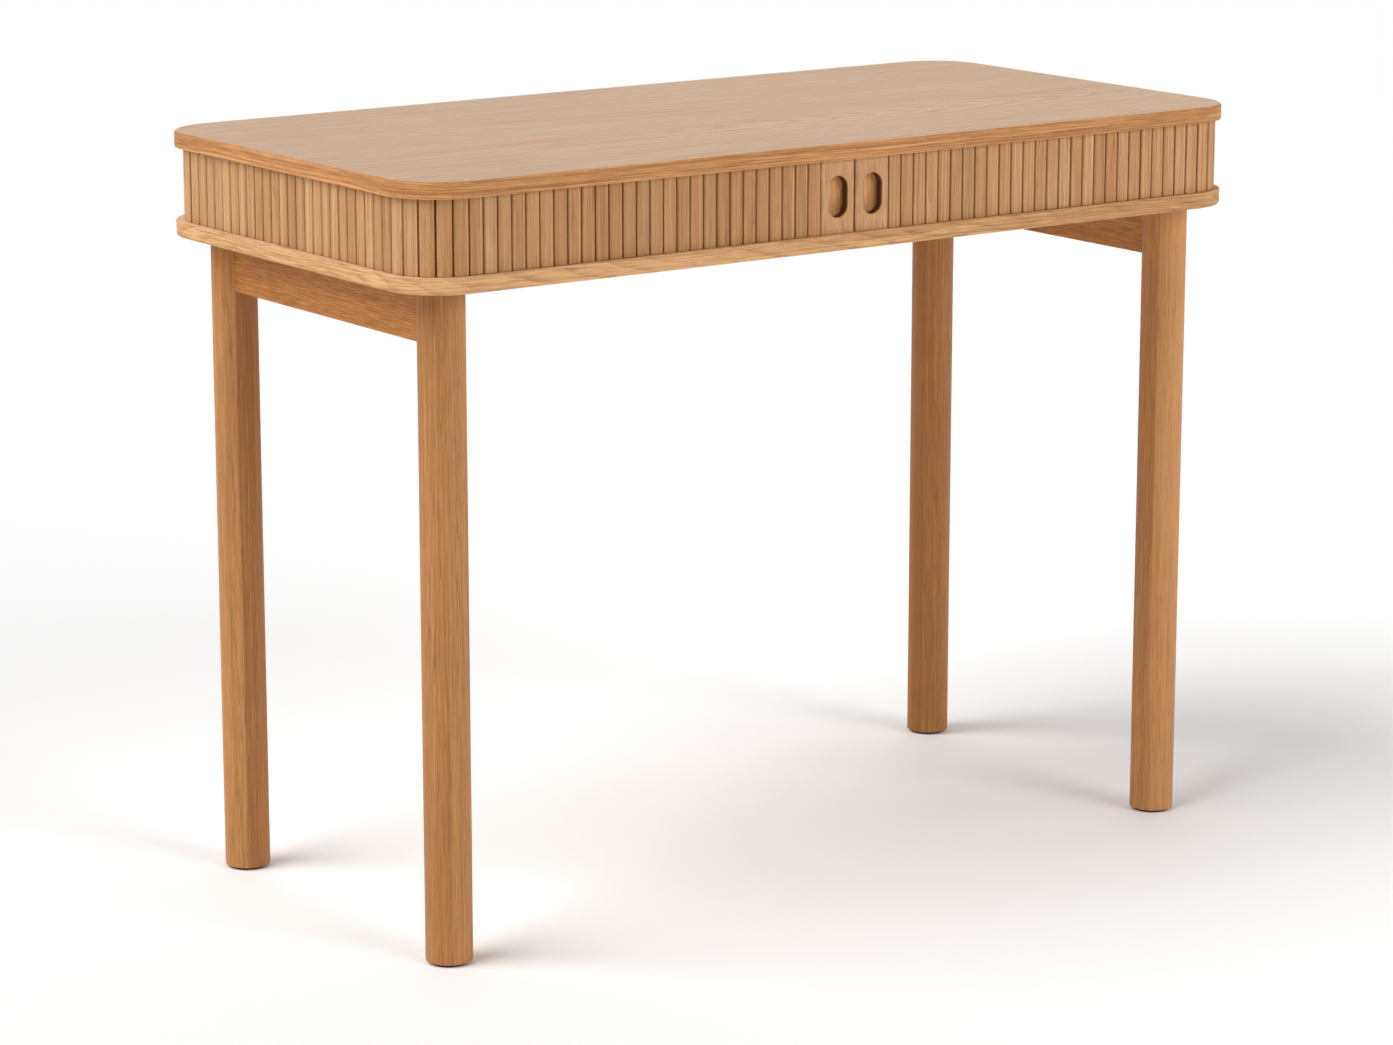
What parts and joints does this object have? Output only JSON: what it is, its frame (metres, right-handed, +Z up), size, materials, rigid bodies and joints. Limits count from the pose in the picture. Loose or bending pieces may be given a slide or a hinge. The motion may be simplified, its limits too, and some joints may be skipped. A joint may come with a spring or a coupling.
{
  "type": "tambour desk",
  "caption": "Writing desk with a shallow oak case on round legs, closed by slatted tambour curtains that slide apart along the front and run round the corners.",
  "frame": {"origin": "on the floor, below the middle of the desk", "axes": "+X along the front to the right as the sitter sees it, +Y to the back, +Z up"},
  "size_m": [1, 0.492, 0.755],
  "materials": {
    "oak_board": "matt lacquered oak veneer",
    "oak_slat": "matt lacquered solid oak",
    "oak_frame": "matt lacquered laminated oak",
    "oak_inner": "matt lacquered oak veneer",
    "beech": "plain turned dowel",
    "canvas": "woven cotton canvas",
    "zinc_steel": "zinc plated",
    "insert_brass": "turned brass",
    "stop_rubber": "matt black rubber",
    "glide_plastic": "matt black plastic"
  },
  "bodies": {
    "case": {"top_board": "oak_board", "bottom_board": "oak_board", "back_panel": "oak_board", "left_inner_side": "oak_inner", "right_inner_side": "oak_inner", "inner_back": "oak_inner", "centre_divider": "oak_inner", "carcase_dowels": "beech", "rail_dowels": "beech", "centre_pegs": "beech", "leg_bolts": "zinc_steel", "rail_screws": "zinc_steel", "leg_inserts": "insert_brass", "left_front_slats": "oak_slat", "left_corner_slats": "oak_slat", "left_side_slats": "oak_slat", "left_rear_slats": "oak_slat", "left_tail_slats": "oak_slat", "left_front_canvas": "canvas", "left_side_canvas": "canvas", "left_door_stop": "stop_rubber", "left_rail": "oak_frame", "leg_front_left": "oak_frame", "glide_front_left": "glide_plastic", "leg_rear_left": "oak_frame", "glide_rear_left": "glide_plastic", "right_front_slats": "oak_slat", "right_corner_slats": "oak_slat", "right_side_slats": "oak_slat", "right_rear_slats": "oak_slat", "right_tail_slats": "oak_slat", "right_front_canvas": "canvas", "right_side_canvas": "canvas", "right_door_stop": "stop_rubber", "right_rail": "oak_frame", "leg_front_right": "oak_frame", "glide_front_right": "glide_plastic", "leg_rear_right": "oak_frame", "glide_rear_right": "glide_plastic"},
    "left_door": {"left_lead_stile": "oak_slat"},
    "right_door": {"right_lead_stile": "oak_slat"}
  },
  "joints": [
    {"name": "left_door_slide", "type": "slide", "parent": "case", "child": "left_door", "axis": [-1, 0, 0], "range_m": [0, 0.3986], "deforming": ["left_front_slats", "left_front_canvas"]},
    {"name": "right_door_slide", "type": "slide", "parent": "case", "child": "right_door", "axis": [1, 0, 0], "range_m": [0, 0.3986], "deforming": ["right_front_slats", "right_front_canvas"]}
  ]
}
